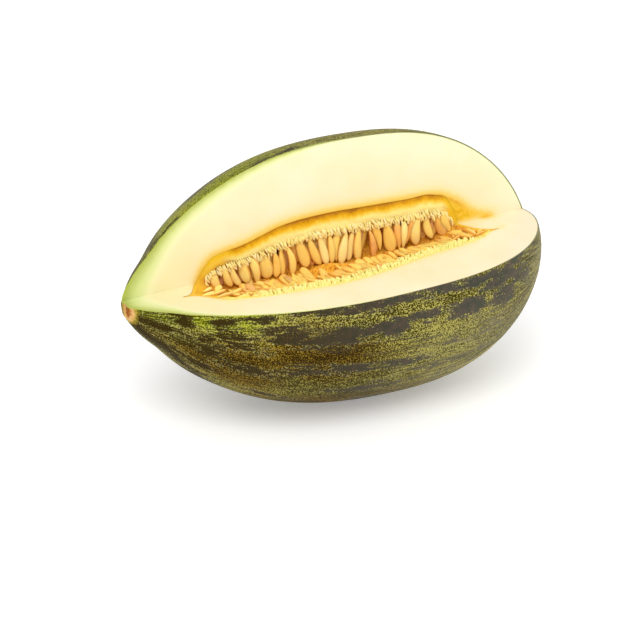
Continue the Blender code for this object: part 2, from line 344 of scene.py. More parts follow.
def makeCamera():
    a, e = camera["azimuth"], camera["elevation"]
    back = Vector((math.sin(a) * math.cos(e), -math.cos(a) * math.cos(e), math.sin(e)))
    right = Vector((math.cos(a), math.sin(a), 0.0))
    middle = Vector((axisStart + 0.5 * fruit["length"], 0.0, axisZ))
    aim = middle - right * camera["left"] - back.cross(right) * camera["below"]
    data = bpy.data.cameras.new("photoView")
    data.lens = camera["lens"]
    data.sensor_width = 36.0
    data.clip_start = 0.01
    item = bpy.data.objects.new("photoView", data)
    item.location = aim + back * camera["distance"]
    item.rotation_euler = back.to_track_quat("Z", "Y").to_euler()
    bpy.context.scene.collection.objects.link(item)
    bpy.context.scene.camera = item


makeCamera()
print("melon: camera placed")

# rind and flesh

rindLook = {
    "oliveDark": "#3a3204",          # ground and flecks, on most of the fruit
    "oliveFleck": "#aca354",
    "brownDark": "#2e1f00",          # and low in the middle
    "brownFleck": "#8a7022",
    # greener near the stem; along the top the lighter green is partly painted top light
    "freshAndTopLightDark": "#4c5400",          # and near the stem and along the top
    "freshAndTopLightFleck": "#aeae36",
    "patch": "#51473e",              # the dark patches in two shades, towards the blossom end
    "patchCool": "#3f4138",
    "patchStem": "#342806",          # and near the stem
    "paleFleck": "#c6bf7c",
    # grey haze over the skin: partly the wax's bloom, partly painted sheen
    "bloomAndSheen": "#888166",
    "scarCentre": "#985612",
    "scarRing": "#dfb074",
    "scarEdge": "#b09a30",
    "fleckSize": 0.62,               # mm, as on the real skin, and so are the two sizes below
    "crumbSize": 0.8,
    "scarGrain": 1.2,
    # patterns drawn out along the fruit: mm along, mm across, detail, roughness, distortion
    "zone": (55.0, 20.0, 4.0, 0.5, 0.0),
    "ragged": (11.0, 3.2, 6.0, 0.72, 0.0),
    "weave": (8.0, 1.8, 3.0, 0.5, 0.0),
    "lines": (24.0, 1.4, 2.0, 0.5, 0.7),
    "streak": (40.0, 1.8, 4.0, 0.5, 0.4),
    "shader": {"Roughness": 0.5, "IOR": 1.45, "Specular IOR Level": 0.03},   # natural wax on a firm skin
    "wrinkle": 0.22 * mm,
    "stemWrinkle": 0.40 * mm,
}

# dark patches lie in rows along the fruit: mm from the stem tip along the skin, degrees up from the
# front, and length and width in mm
rindPatches = {
    "front": (
        (30, 7, 9, 3), (36, 1, 8, 5), (36, -13, 9, 4), (46, -12, 9, 4.5), (48, -20, 10, 6), (27, -50, 30, 7),
        (43, -43, 16, 6), (56, 4.5, 16, 5), (69, 5.5, 14, 3.5), (59, -6, 20, 5.5), (60, -12.5, 13, 4),
        (77, -2.5, 14, 5), (84, -4.5, 19, 9.5), (98, -7.5, 28, 7), (104, 8, 24, 6), (128, 7.5, 44, 7),
        (156, 8.5, 22, 5), (108, -5.5, 22, 8.5), (130, -4.5, 26, 9), (150, -2, 18, 6), (174, -2.5, 26, 9),
        (197, -3.5, 24, 10), (176, 8, 24, 6.5), (196, 8, 22, 7), (212, 3, 18, 8), (208, 14, 18, 7),
        (90, 8, 12, 4.5), (23, -13, 14, 4), (66, -14, 16, 4), (190, 4.5, 20, 7),
        (116, -24.5, 26, 6.5), (143, -24, 22, 5.5), (94, -25, 16, 5),
        (130, -40, 46, 5.5), (172, -31, 44, 2.6), (190, -40, 60, 2.4), (176, -18, 30, 2.2), (70, -30, 30, 5),
        (48, 99, 9, 6), (41, 99, 8, 5), (35, 108, 10, 6), (76, 116, 12, 5), (23, 104, 12, 5),
        (108, 97, 30, 3),
    ),
    "rows": 12,                       # rows on the far side and the underside
    "firstAngle": 116.0,
    "lastAngle": 304.0,
    "lengths": (14.0, 48.0),
    "widths": (4.0, 10.0),
    "gaps": (4.0, 26.0),
    "depth": 6.0,                     # mm outside a patch at which its measure stops
}

# what changes slowly over the skin: mm along, degrees up, and how far each reaches, in mm and degrees
rindZones = {
    "warm": ((98, -18, 32, 16), (60, -30, 30, 20), (125, -62, 50, 20), (112, 200, 60, 60)),
    # greener near the stem; the zones along the top are partly painted top light
    "freshAndTopLight": ((0, 0, 9, 400), (18, 6, 18, 13), (50, 5, 20, 9), (60, 100, 55, 30), (30, 80, 30, 60)),
    "sparse": (
        (52, -24, 40, 24), (100, -14, 34, 14), (185, 6, 34, 10), (215, 8, 20, 30), (122, -38, 32, 22),
        (26, -44, 20, 24), (24, -11, 14, 10), (120, 240, 90, 50),
    ),
    "lined": ((26, -30, 24, 60), (48, -4, 26, 30), (190, -46, 60, 18), (225, 0, 20, 70), (50, 200, 50, 90)),
    # where the grey haze lies: partly the wax's bloom, partly painted sheen where the skin turns away
    "bloomAndSheen": (
        (236, -20, 26, 70), (178, -50, 44, 22), (196, -22, 40, 14), (70, 118, 75, 13), (250, 120, 40, 120),
    ),
}

fleshLook = {
    "cream": "#f7e7c6",
    "creamWarm": "#f6e2bb",
    "stemCream": "#e9e1ae",
    "skinEdge": "#5c6436",
    "greenEdge": "#a0ac40",
    "greenFade": "#d2da90",
    "paleGreen": "#ebeab9",
    "stainDeep": "#dfa808",
    "stainMid": "#e8bf1c",
    "stainEdge": "#ecc440",
    "stainHalo": "#f2d070",
    "stainFade": "#f4df9e",
    "stainTail": "#d9cc5c",
    "stainAmber": "#d89c0a",
    "greenReach": 7.0,               # mm over which the green under the skin fades
    "greenShares": (0.22, 0.98, 1.9),   # share of it at the blossom end, and what the middle and stem add
    "greenBelow": 0.35,              # how much of it is left on the lower face, away from the stem
    "stemward": (45 * mm, 105 * mm),   # minus X over which the flesh turns yellower
    "tail": (76 * mm, 86 * mm),      # X over which the stain thins to its tail
    "seamEnd": (54 * mm, 59 * mm, -76 * mm, -68 * mm),   # amber edge: X of its start, minus X of its end
    "skinLine": (-45 * mm, 25 * mm),   # X over which the cut skin comes to show as a dark line
    "cloudSize": 22.0,               # mm, and so are the three sizes below
    "waveSize": 3.8,
    "stainGrain": 2.2,
    "wetGrain": 1.4,
    "shader": {                      # wet, cut by a knife
        "Roughness": 0.36, "IOR": 1.36, "Subsurface Weight": 0.35, "Subsurface Scale": 4.0 * mm,
        "Subsurface Radius": (1.0, 0.75, 0.35), "Coat Weight": 0.08, "Coat Roughness": 0.2,
    },
}


def makeRindMaterial():
    # Melon rind: a firm green skin that grew with a coat of natural wax. To the eye it is a dark olive
    # ground, crowded with paler flecks, with rows of ragged smoky patches and a soft sheen, which is
    # painted in, together with the wax's bloom, as a grey haze.
    look = rindLook
    material, add = startMaterial("waxyMelonRind", look["shader"])
    place = add("TexCoord", output="Object")
    skin = add("Attribute", attribute_name="skinMm", output="Vector")
    fromPatch, warm, freshAndTopLight, sparse, lined, bloomAndSheen, blossomward, scar = (
        add("Attribute", attribute_name=name, output="Fac")
        for name in ("patchMm", "warm", "freshAndTopLight", "sparse", "lined", "bloomAndSheen", "blossomward", "scarMm")
    )
    drawnOut = []
    for name in ("zone", "ragged", "weave", "lines", "streak"):
        along, across, detail, roughness, distortion = look[name]
        space = add("Mapping", skin, Scale=(1 / along, 1 / across, 1 / across))
        drawnOut.append(add("TexNoise", space, 1.0, detail, roughness, Distortion=distortion))
    zone, ragged, weave, lines, streak = drawnOut

    # ground and flecks, each mixed from three colours over the fruit, and ragged patches in the ground
    zoneShift = add("Math", zone, 0.9, -0.45, **timesPlus)
    ground, fleck = look["oliveDark"], look["oliveFleck"]
    for share, fades, hue in ((warm, (0.10, 0.65), "brown"), (freshAndTopLight, (0.12, 0.60), "freshAndTopLight")):
        here = add("Math", share, zoneShift)
        here = add("ValToRGB", here, stops=((fades[0], 0.0), (fades[1], 1.0)))
        ground = add("Mix", here, ground, look[hue + "Dark"], **mixed)
        fleck = add("Mix", here, fleck, look[hue + "Fleck"], **mixed)
    depth = add("Math", ragged, 19.0, -9.7, **timesPlus)
    depth = add("Math", depth, fromPatch)
    patch = add("MapRange", depth, -1.1, 0.8)
    patchShade = add("TexNoise", place, 1000 / look["ragged"][1])
    patchShade = add("ValToRGB", patchShade, stops=((0.40, look["patch"]), (0.62, look["patchCool"])))
    patchShade = add("Mix", blossomward, look["patchStem"], patchShade, **mixed)

    # flecks, woven lengthwise, thin in the patches and drawn into lines near both ends
    lineShift = add("Math", lines, 0.9, -0.45, **timesPlus)
    flecks = add("TexNoise", place, 1000 / look["fleckSize"], 1.5, 0.6)
    for pattern, amount in ((weave, 0.22), (zone, 0.20), (sparse, -0.08), (patch, -0.19), (lineShift, lined)):
        flecks = add("Math", pattern, amount, flecks, **timesPlus)
    flecks = add("ValToRGB", flecks, stops=((0.665, 0.0), (0.76, 1.0)))

    # pale crumbs along the edges of the patches
    crumbs = add("TexNoise", place, 1000 / look["crumbSize"], 3.0, 0.7)
    crumbs = add("ValToRGB", crumbs, stops=((0.53, 0.0), (0.62, 0.75)))
    rim = add("MapRange", depth, -2.4, 1.2)
    rim = add("ValToRGB", rim, stops=((0.0, 0.0), (0.5, 1.0), (1.0, 0.0)))
    rim = add("Math", rim, crumbs, **times)

    # thin dark streaks along the fruit, and a grey haze: partly the wax's bloom, partly painted sheen
    streak = add("ValToRGB", streak, stops=((0.56, 0.0), (0.63, 0.6)))
    haze = add("ValToRGB", ragged, stops=((0.35, 0.15), (0.65, 0.6)))
    haze = add("Math", haze, bloomAndSheen, **times)

    # the corky scar where the stem broke off
    scarWobble = add("TexNoise", place, 1000 / look["scarGrain"])
    scarPart = add("Math", scarWobble, 3.6, scar, **timesPlus)
    scarPart = add("MapRange", scarPart, 2.2, 10.4)
    scarColour = add("ValToRGB", scarPart, stops=(
        (0.0, look["scarCentre"]), (0.25, look["scarCentre"]), (0.48, look["scarRing"]),
        (0.80, look["scarEdge"]),
    ))
    scarMask = add("ValToRGB", scarPart, stops=((0.62, 1.0), (0.98, 0.0)))

    colour = ground
    for mask, shade in ((patch, patchShade), (flecks, fleck), (rim, look["paleFleck"]), (streak, patchShade),
                        (haze, look["bloomAndSheen"]), (scarMask, scarColour)):
        colour = add("Mix", mask, colour, shade, **mixed)
    height = add("Math", flecks, 0.5, lines, **timesPlus)
    bump = add("Bump", Height=height, Strength=0.35, Distance=0.12 * mm)
    return finishMaterial(material, colour, bump)


def makeFleshMaterial():
    # Melon flesh, cut by a knife: wet, fine and smooth, cream inside and green close under the skin.
    # Light goes a few mm into it, which softens its edges.
    look = fleshLook
    material, add = startMaterial("cutMelonFlesh", look["shader"])
    place = add("TexCoord", output="Object")
    fromSkin, greenReach, fromHollow, stemward, tail, seamEnd, skinLine = (
        add("Attribute", attribute_name=name, output="Fac")
        for name in ("fromSkinMm", "greenReachMm", "fromHollowMm", "stemward", "tail", "seamEnd", "skinLine")
    )

    # cream with faint clouds, yellower towards the stem, and green under the skin
    clouds = add("TexNoise", place, 1000 / look["cloudSize"])
    cream = add("ValToRGB", clouds, stops=((0.35, look["creamWarm"]), (0.65, look["cream"])))
    cream = add("Mix", stemward, cream, look["stemCream"], **mixed)
    waves = add("TexNoise", place, 1000 / look["waveSize"])
    waves = add("Math", waves, 1.0, -0.5, **timesPlus)
    depth = add("Math", fromSkin, waves)
    depth = add("Math", depth, greenReach, operation="DIVIDE")
    green = add("ValToRGB", depth, stops=(
        (0.0, look["greenEdge"]), (0.33, look["greenFade"]), (0.66, look["paleGreen"]), (1.0, look["cream"]),
    ))
    greenMask = add("ValToRGB", depth, stops=((0.0, 1.0), (0.50, 0.9), (1.0, 0.0)))
    edge = add("MapRange", fromSkin, 0.95, 0.45)
    edge = add("Math", edge, skinLine, **times)

    # the stain of ripe pulp round the hollow, which ends in a tail
    grain = add("TexNoise", place, 1000 / look["stainGrain"], 4.0)
    grainShift = add("Math", grain, 1.6, -0.8, **timesPlus)
    fromHollow = add("Math", fromHollow, grainShift)
    stainPart = add("MapRange", fromHollow, -3.0, 9.0)
    mottled = add("ValToRGB", grain, stops=(
        (0.36, look["stainDeep"]), (0.50, look["stainMid"]), (0.66, look["stainEdge"]),
    ))
    mottled = add("Mix", tail, mottled, look["stainTail"], **mixed)
    stain = add("ValToRGB", stainPart, stops=(
        (0.0, look["stainMid"]), (0.25, look["stainEdge"]), (0.38, look["stainHalo"]),
        (0.56, look["stainFade"]), (1.0, look["cream"]),
    ))
    inside = add("ValToRGB", stainPart, stops=((0.02, 1.0), (0.26, 0.0)))
    amber = add("ValToRGB", stainPart, stops=((0.12, 0.0), (0.18, 0.6), (0.24, 0.6), (0.30, 0.0)))
    amber = add("Math", amber, seamEnd, **times)
    for mask, shade in ((inside, mottled), (amber, look["stainAmber"])):
        stain = add("Mix", mask, stain, shade, **mixed)
    stainMask = add("ValToRGB", stainPart, stops=((0.0, 1.0), (0.40, 0.96), (0.60, 0.6), (1.0, 0.0)))

    colour = cream
    for mask, shade in ((greenMask, green), (edge, look["skinEdge"]), (stainMask, stain)):
        colour = add("Mix", mask, colour, shade, **mixed)
    wet = add("TexNoise", place, 1000 / look["wetGrain"], 4.0)
    bump = add("Bump", Height=wet, Strength=0.12, Distance=0.1 * mm)
    return finishMaterial(material, colour, bump)


def skinCoordinates(points):   # mm along the skin from the stem tip, degrees up from the front, and radius
    along = np.interp(points[:, 0], profileX[16:], profileRun[16:]) / mm
    angle = np.degrees(np.arctan2(points[:, 2] - axisZ, -points[:, 1]))
    return along, angle, np.hypot(points[:, 1], points[:, 2] - axisZ)


def angleBetween(one, two):
    return (one - two + 180.0) % 360.0 - 180.0


def darkPatches():   # those read on the front, and rows of them by rule all round the far side
    patches, draw = list(rindPatches["front"]), random.Random(41)
    for angle in np.linspace(rindPatches["firstAngle"], rindPatches["lastAngle"], rindPatches["rows"]):
        along = draw.uniform(8, 40)
        while along < fruit["length"] / mm + 20:
            length = draw.uniform(*rindPatches["lengths"])
            width = draw.uniform(*rindPatches["widths"])
            patches.append((along + length / 2, angle + draw.uniform(-3, 3), length, width))
            along += length + draw.uniform(*rindPatches["gaps"])
    return patches


def patchDepth(along, angle, radius):   # mm inside the nearest dark patch, or minus mm outside
    deepest = np.full(len(along), -rindPatches["depth"])
    for middle, up, length, width in darkPatches():
        aside = np.radians(angleBetween(angle, up)) * radius / mm
        share = np.sqrt(np.abs(2 * (along - middle) / length) ** 3 + (2 * aside / width) ** 2)
        deepest = np.maximum(deepest, (1 - share) * 0.5 * width)
    return deepest


def zoneShare(name, along, angle):
    share = np.zeros(len(along))
    for middle, up, reach, spread in rindZones[name]:
        here = np.exp(-((along - middle) / reach) ** 2 - (angleBetween(angle, up) / spread) ** 2)
        share = np.maximum(share, here)
    return share


def makeFruitSkin(material):
    sides = fruit["sides"]
    angle = np.linspace(0.0, 2 * math.pi, sides, endpoint=False)
    slopeX, slopeR = np.gradient(profileX), np.gradient(profileRadius)
    slope = np.hypot(slopeX, slopeR)
    outX, outR = (-slopeR / slope)[1:-1, None], (slopeX / slope)[1:-1, None]
    x, radius, run = profileX[1:-1, None], profileRadius[1:-1, None], profileRun[1:-1, None]
    unrolled = np.stack((
        np.repeat(run, sides, axis=1).ravel(),
        np.tile(fruit["radius"] * np.cos(angle), len(x)),
        np.tile(fruit["radius"] * np.sin(angle), len(x)),
    ), axis=1)
    wrinkle = sum(
        share * noiseAt(unrolled, size, seed, (stretch, 1.0, 1.0))
        for size, seed, stretch, share in fruit["wrinkles"]
    ).reshape(len(x), sides)
    stem = np.exp(-(run / fruit["stemReach"]) ** 2)
    amount = rindLook["wrinkle"] * (1 - stem) + rindLook["stemWrinkle"] * stem
    inset = fruit["skinInset"]
    inwards = inset + amount * (0.5 - 0.5 * np.clip(wrinkle, -1, 1))
    ringR = np.maximum(radius - outR * inwards, 0.05 * mm)
    y, z = ringR * np.cos(angle), axisZ + ringR * np.sin(angle)
    rings = np.stack((x - outX * inwards, y, np.maximum(z, 0.0)), axis=2)
    tips = [(profileX[0] + inset, 0.0, axisZ), (profileX[-1] - inset * fruit["tipInset"], 0.0, axisZ)]
    return makeTube("melonBody", rings, material, tips)


def makeWedge(material):   # the space that the knife opened, with a fine grid on both faces
    up = np.linspace(cut["upperReach"], 0.0, int(cut["upperReach"] / cut["grid"]))
    out = np.linspace(0.0, cut["lowerReach"], int(cut["lowerReach"] / cut["grid"]))
    places = np.concatenate((up, -out[1:]))
    rings = []
    for x in np.linspace(-cut["halfLength"], cut["halfLength"], int(2 * cut["halfLength"] / cut["grid"])):
        y, z = onCut(x, places)
        top = z[0] + cut["above"]
        rings.append([(x, a, b) for a, b in zip([*y, y[-1], y[0]], [*z, top, top])])
    return makeTube("wedge", rings, material)


def hollowArc(x, inset=0.0, sides=None):   # the wall of the hollow behind the cut faces, as (Y, Z)
    upper, lower = rims(x)
    start, end = np.array(onCut(x, upper)), np.array(onCut(x, -lower))
    chord = end - start
    width = np.hypot(*chord)
    if inset:
        start, end = start + chord / width * inset, end - chord / width * inset
        chord = end - start
    inwards = np.array((-chord[1], chord[0])) / np.hypot(*chord)
    t = np.linspace(0.0, 1.0, sides or hollow["sides"])[:, None]
    run = 0.5 - 0.5 * np.cos(math.pi * t) - hollow["undercut"] * np.sin(2 * math.pi * t)
    depth = hollow["depth"] * max(width - hollow["least"], 0.2 * mm) - inset
    return start + chord * run + inwards * max(depth, 0.1 * mm) * np.sin(math.pi * t)


def hollowStations(count):   # X from end to end of the hollow, closer together at the ends
    turn = math.pi * (np.arange(count) + 0.6) / (count + 0.2)
    return hollow["middleX"] - hollow["halfLength"] * np.cos(turn)


def makeHollowCutter(material):
    rings = []
    for x in hollowStations(hollow["stations"]):
        arc = hollowArc(x)
        start, end = arc[0], arc[-1]
        chord = end - start
        outwards = np.array((chord[1], -chord[0])) / np.hypot(*chord)
        t = np.linspace(1.0, 0.0, 10)[1:-1, None]
        lid = start + chord * t + outwards * hollow["lidHeight"] * np.sin(math.pi * t)
        rings.append([(x, a, b) for a, b in np.concatenate((arc, lid))])
    return makeTube("hollowCutter", rings, material)


def distanceToLine(points, line):   # from 2D points to a line through 2D points
    best = np.full(len(points), np.inf)
    for one, two in zip(line[:-1], line[1:]):
        step = two - one
        t = np.clip(((points - one) @ step) / max(step @ step, 1e-12), 0.0, 1.0)
        best = np.minimum(best, np.hypot(*(points - one - t[:, None] * step).T))
    return best


def stainDistance(x, place):   # from the outline of the stained part of the unrolled cut faces, minus inside
    stemEnd, tailEnd, rimEnd = -85 * mm, 88 * mm, 83 * mm
    stainX = np.linspace(stemEnd, tailEnd, 100)
    rimX = np.linspace(70 * mm, rimEnd, 20)
    lowerX = np.linspace(rimEnd, stemEnd, 100)
    outline = np.concatenate((
        np.stack((stainX, softLine(hollow["stain"], stainX)), axis=1),
        np.stack((rimX, softLine(hollow["upperRim"], rimX)), axis=1),
        np.stack((lowerX, -softLine(hollow["lowerRim"], lowerX)), axis=1),
    ))
    distance = distanceToLine(np.stack((x, place), axis=1), outline)
    inside = (place >= 0) & (place < softLine(hollow["stain"], x)) & (np.abs(x) < tailEnd)
    pastRim = smoothStep(-2.5 * mm, 0.0, -place - softLine(hollow["lowerRim"], x))
    pastRim = pastRim * (1 + smoothStep(35 * mm, 50 * mm, -x) - 1.6 * smoothStep(58 * mm, 68 * mm, -x))
    pastStem = smoothStep(70 * mm, 84 * mm, -x)
    nearFold = smoothStep(-2.6 * mm, -0.9 * mm, -place) * smoothStep(63 * mm, 69 * mm, x)
    nearFold = nearFold * smoothStep(-86 * mm, -80 * mm, -x)
    paler = hollow["paleBelow"] * pastRim + hollow["paleStem"] * pastStem + hollow["paleFold"] * nearFold
    return np.where(inside, -distance, distance) + paler


def makeMelonBody():
    look, flesh = fleshLook, makeFleshMaterial()
    body = makeFruitSkin(makeRindMaterial())
    subtract(body, makeWedge(flesh))
    subtract(body, makeHollowCutter(flesh))
    mesh = body.data
    mesh.name = "melonBody"
    fixNormals(mesh, fruit["mergeBelow"])
    points = meshPoints(mesh)
    x = points[:, 0]
    along, angle, radius = skinCoordinates(points)
    profile = np.stack((profileX, profileRadius), axis=1)
    fromSkin = distanceToLine(np.stack((x, radius), axis=1), profile) - fruit["skinInset"]
    lineY, lineZ = cutLine(x)
    height, out = points[:, 2] - lineZ, lineY - points[:, 1]
    place = np.where((np.abs(out) < 0.2 * mm) & (height > 0), height, -np.maximum(out, 0.0))
    least, more, stem = look["greenShares"]
    greenReach = least + more * smoothStep(-150, -60, -along) + stem * np.exp(-((along - 10.0) / 28.0) ** 2)
    below = look["greenBelow"] + (1 - look["greenBelow"]) * smoothStep(-60, -15, -along)
    greenReach = np.where(place < 0, greenReach * below, greenReach)
    fromScar = np.linalg.norm(points - np.array((*fruit["scarAt"], axisZ)), axis=1)
    turn, around = np.radians(angle), fruit["radius"] / mm
    attributes = {
        "skinMm": np.stack((along, around * np.cos(turn), around * np.sin(turn)), axis=1),
        "patchMm": patchDepth(along, angle, radius),
        **{name: zoneShare(name, along, angle) for name in rindZones},
        "blossomward": smoothStep(30, 190, along),
        "scarMm": fromScar / mm,
        "fromSkinMm": fromSkin / mm,
        "greenReachMm": look["greenReach"] * greenReach,
        "fromHollowMm": stainDistance(x, place) / mm,
        "stemward": smoothStep(*look["stemward"], -x),
        "tail": smoothStep(*look["tail"], x),
        "seamEnd": smoothStep(*look["seamEnd"][:2], x) * smoothStep(*look["seamEnd"][2:], -x),
        "skinLine": smoothStep(*look["skinLine"], x),
    }
    for label, values in attributes.items():
        storeAttribute(mesh, label, values)
    mesh.shade_smooth()
    mesh.set_sharp_from_angle(angle=fruit["sharpAngle"])
    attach(body, "root")
    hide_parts("melon_body")
    return body


melonBody = makeMelonBody()
print("melon: rind and flesh made,", len(melonBody.data.polygons), "faces")

# the pulp that lines the hollow

pulpShape = {
    "gap": 0.2 * mm,
    "upperProfile": (                 # mm below the upper rim, mm behind the cut face
        (0.0, 0.5), (0.7, 0.4), (1.4, 0.25), (2.8, 0.15), (5.0, 0.2), (8.8, 0.35), (10.8, 0.6), (12.2, 1.1),
        (14.5, 2.9), (17.0, 4.8),
    ),
    "seam": (-60.0, -50.0, 57.0, 66.0),   # X between which the rim is a sharp seam
    "ends": (-69.0, -57.0, 55.0, 68.0),   # and the pulp lies deep; past these it comes up to the rim
    "endDepth": 0.3,                  # share of its depth that is left there
    "lowerProfile": (                 # mm back from the lower rim, mm under the cut face
        (0.0, 0.9), (0.8, 0.40), (2.4, 0.15), (4.2, 0.8), (6.5, 1.8), (9.0, 2.8), (12.5, 4.0),
    ),
    "valley": 3.8,                    # mm more where the two beds meet
    "valleyWidth": 8.0,
    "endValley": 0.2,                 # and the share of it past the ends
    "membraneRise": 3.4,              # a wet lump of pulp that lies over the lower bed
    "membraneX": -9.0,
    "membraneLength": 14.0,
    "membraneBack": 9.0,
    "membraneWidth": 6.0,
    "membraneFromRim": 24.0,          # its shade is centred this far from the rim, and fades over this
    "membraneFade": 9.0,
    "lump": 0.7,
    "lumps": ((3.6 * mm, 4.0, 1.0), (1.5 * mm, 5.0, 0.5)),   # size, seed and amount
    "lumpFrom": (3.0, 9.0),           # mm from the rims over which the lumps grow
    "roomyFrom": (4.0, 14.0),         # and the valley
    "foldReach": 5.0,                 # mm each side of the fold over which the depth turns
    "bandLeast": 0.35,                # share of the band's width where the upper rim is low
    "bandFull": 18 * mm,              # height of the rim at which it has all its width
    "softRim": (0.75, 4.0),           # past the seam: share of the depth that goes, and mm from the rim
    "leftEnd": (66 * mm, 72 * mm),    # minus X over which the pulp turns to a plain glow
    "leftGold": (50 * mm, 61 * mm),   # and the band to gold
    "leftGoldShare": 0.85,
    "rightGold": (59 * mm, 66 * mm),  # X over which it does so at the blossom end
    "seamPatches": (13 * mm, 8.0),    # size and seed of the breaks in the seam
    "seamLeast": 0.7,
    "stations": 150,
    "acrossPoints": 90,
    "backPoints": 22,
}

pulpLook = {
    # the crease against the flesh: partly the pulp's deeper orange, partly painted shade of the groove
    "crease": "#a06400",
    "orangeDeep": "#c08600",
    "orange": "#d29a00",
    "gold": "#e6b21a",
    "yellow": "#f1d24e",
    "paleFibre": "#f5ea94",
    "strand": "#f1df98",
    # painted shade between the painted strands of the band
    "strandGap": "#eac660",
    "glow": "#e8b634",
    "endGold": "#eabe26",
    "bed": "#f0b044",
    "bedDeep": "#cc8422",
    "bedStreak": "#b46a14",
    "membrane": "#f4b038",
    "mottleSize": 3.0,                # mm, and so are the sizes below
    "threadWidth": 0.9,
    "threadLength": 4.0,
    "streakLength": 11.0,
    "combWidth": 0.45,
    "grainSize": 1.1,
    "bandReach": 13.5,
    "fringeReach": 8.0,
    "threadLean": math.radians(-30),
    "shader": {                       # wet with juice
        "Roughness": 0.3, "IOR": 1.37, "Specular IOR Level": 0.25,
        "Subsurface Weight": 0.25, "Subsurface Scale": 2.0 * mm,
        "Subsurface Radius": (1.0, 0.5, 0.15), "Coat Weight": 0.05, "Coat Roughness": 0.15,
    },
}


def bandShare(upper):   # the band under the upper rim narrows where the rim is low
    least = pulpShape["bandLeast"]
    return least + (1 - least) * np.clip(upper / pulpShape["bandFull"], 0.0, 1.0)


def betweenEnds(x, ends):
    a, b, c, d = ends
    return smoothStep(a, b, x / mm) * smoothStep(-d, -c, -x / mm)


def pulpSection(x, count=None):   # front of the pulp at x: (Y, Z), mm from both rims
    shape = pulpShape
    upper, lower = rims(x)
    total = upper + lower - 2 * shape["gap"]
    q = np.linspace(0.0, 1.0, count or shape["acrossPoints"]) * total + shape["gap"]
    fromUpper, fromLower = (q - shape["gap"]) / mm / bandShare(upper), (total + shape["gap"] - q) / mm
    baseY, baseZ = onCut(x, upper - q)
    depth = np.minimum(softLine(shape["upperProfile"], fromUpper), softLine(shape["lowerProfile"], fromLower))
    share, reach = shape["softRim"]
    depth = depth * (1 - share * (1 - betweenEnds(x, shape["seam"])) * np.exp(-(fromUpper / reach) ** 2))
    between = betweenEnds(x, shape["ends"])
    depth = depth * (1 - (1 - shape["endDepth"]) * (1 - between))
    pastCorner = (q - upper) / mm
    roomy = smoothStep(*shape["roomyFrom"], np.minimum(fromUpper, fromLower))
    valley = shape["valley"] * (shape["endValley"] + (1 - shape["endValley"]) * between)
    depth = depth + valley * np.exp(-(pastCorner / shape["valleyWidth"]) ** 2) * roomy
    rise = math.exp(-((x / mm - shape["membraneX"]) / shape["membraneLength"]) ** 2)
    hump = np.exp(-((pastCorner - shape["membraneBack"]) / shape["membraneWidth"]) ** 2)
    depth = depth - shape["membraneRise"] * rise * hump
    turn = -(math.pi / 2 + cut["lowerRise"]) * smoothStep(-shape["foldReach"], shape["foldReach"], pastCorner)
    return baseY, baseZ, depth * mm, turn, fromUpper, fromLower


